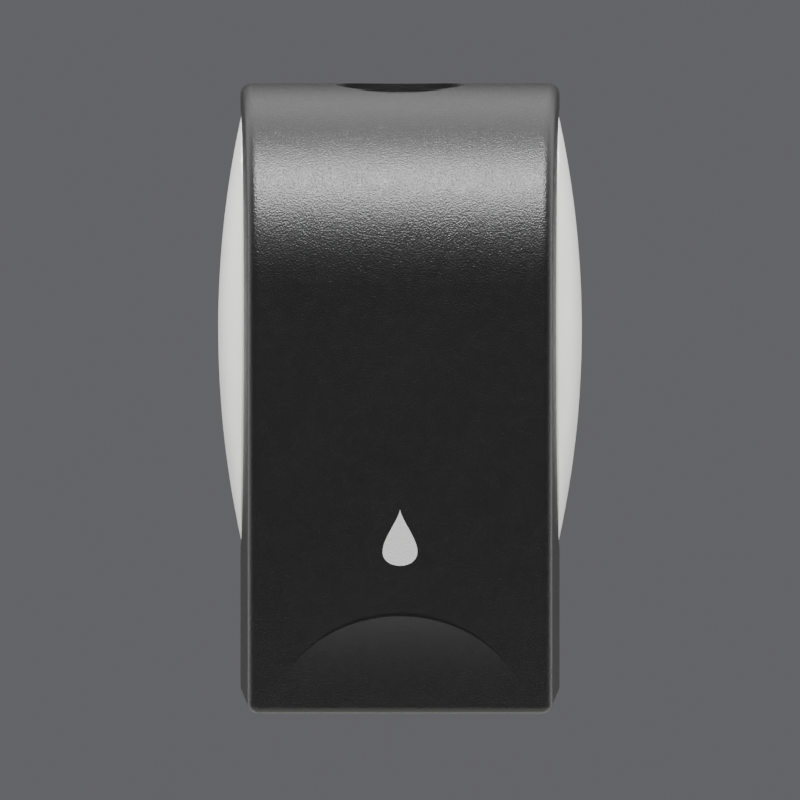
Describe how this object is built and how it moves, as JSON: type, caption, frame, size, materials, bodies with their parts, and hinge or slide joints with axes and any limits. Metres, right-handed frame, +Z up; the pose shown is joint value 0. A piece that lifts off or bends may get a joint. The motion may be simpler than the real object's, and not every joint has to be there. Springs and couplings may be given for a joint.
{
  "type": "wall mounted soap dispenser",
  "caption": "Touchless wall soap dispenser with a curved black hinged cover, white bulged side panels, a refill bottle and a motor driven pump.",
  "frame": {"origin": "centre of the wall-screw pattern on the wall plane", "axes": "+Z up, the front faces -Y, and +Y points into the wall"},
  "size_m": [0.1766, 0.102, 0.298],
  "materials": {
    "black_cover": "fine moulded grain, satin",
    "white_panel": "satin, slightly translucent",
    "grey_plastic": "moulded, satin",
    "dark_plastic": "moulded, satin",
    "natural_plastic": "unpigmented acetal, satin",
    "bottle_plastic": "blow moulded, translucent",
    "soap": "clear liquid",
    "steel": "zinc plated",
    "brass_gear": "cut",
    "board_green": "solder mask",
    "cell_wrap": "shrink wrap",
    "lead_rubber": "wire jacket",
    "sensor_tint": "infrared window, polished",
    "button_red": "moulded"
  },
  "bodies": {
    "chassis": {"wall_plate": "grey_plastic", "hinge_pins": "steel", "latch_leaf": "steel", "right_panel": "white_panel", "left_panel": "white_panel", "panel_screws": "steel", "battery_box": "grey_plastic", "battery_cells": "cell_wrap", "battery_contacts": "steel", "contact_springs": "steel", "battery_door": "grey_plastic", "battery_lead": "lead_rubber", "refill_bottle": "bottle_plastic", "liquid_soap": "soap", "pump_collar": "natural_plastic", "pump_cylinder": "natural_plastic", "check_ball": "steel", "pump_spring": "steel", "refill_cradle": "grey_plastic", "gear_axle": "steel", "drive_motor": "steel", "drive_housing": "dark_plastic", "drive_cover": "dark_plastic", "guide_rods": "steel", "electronics_box": "dark_plastic", "control_board": "board_green", "lower_housing": "dark_plastic", "sensor_window": "sensor_tint", "sensor_leds": "sensor_tint", "sensor_board": "board_green", "status_light": "bottle_plastic"},
    "cover": {"front_cover": "black_cover", "button_spring": "steel"},
    "latch": {"latch_button": "dark_plastic"},
    "lift": {"carriage": "natural_plastic", "pump_plunger": "natural_plastic", "nozzle_tip": "natural_plastic"},
    "gear": {"drive_gear": "natural_plastic"},
    "pinion": {"motor_pinion": "brass_gear"},
    "power": {"power_button": "button_red"},
    "dose": {"dose_switch": "natural_plastic"}
  },
  "joints": [
    {"name": "cover_hinge", "type": "hinge", "parent": "chassis", "child": "cover", "pos_m": [0, -0.014, -0.137], "axis": [1, 0, 0], "range_deg": [0, 88]},
    {"name": "latch_press", "type": "slide", "parent": "cover", "child": "latch", "axis": [0, 0, -1], "range_m": [0, 0.003], "stiffness_N_per_m": 400, "springref_m": -0.002, "deforming": ["button_spring"]},
    {"name": "gear_turn", "type": "hinge", "parent": "chassis", "child": "gear", "pos_m": [0, -0.03, -0.1], "axis": [0, -1, 0], "range_deg": [0, 57.5]},
    {"name": "pump_stroke", "type": "slide", "parent": "chassis", "child": "lift", "axis": [0, 0, 1], "range_m": [0, 0.008], "stiffness_N_per_m": 300, "springref_m": -0.004, "deforming": ["pump_spring"]},
    {"name": "motor_turn", "type": "hinge", "parent": "chassis", "child": "pinion", "pos_m": [-0.02, -0.026, -0.1], "axis": [0, 1, 0], "range_deg": [0, 230]},
    {"name": "power_press", "type": "slide", "parent": "chassis", "child": "power", "axis": [0, 1, 0], "range_m": [0, 0.0015], "stiffness_N_per_m": 400, "springref_m": -0.001},
    {"name": "dose_slide", "type": "slide", "parent": "chassis", "child": "dose", "axis": [1, 0, 0], "range_m": [-0.003, 0.003]}
  ],
  "couplings": [
    {"joint": "gear_turn", "follows": "pump_stroke", "rad_per_m": 125},
    {"joint": "motor_turn", "follows": "pump_stroke", "rad_per_m": 500}
  ]
}
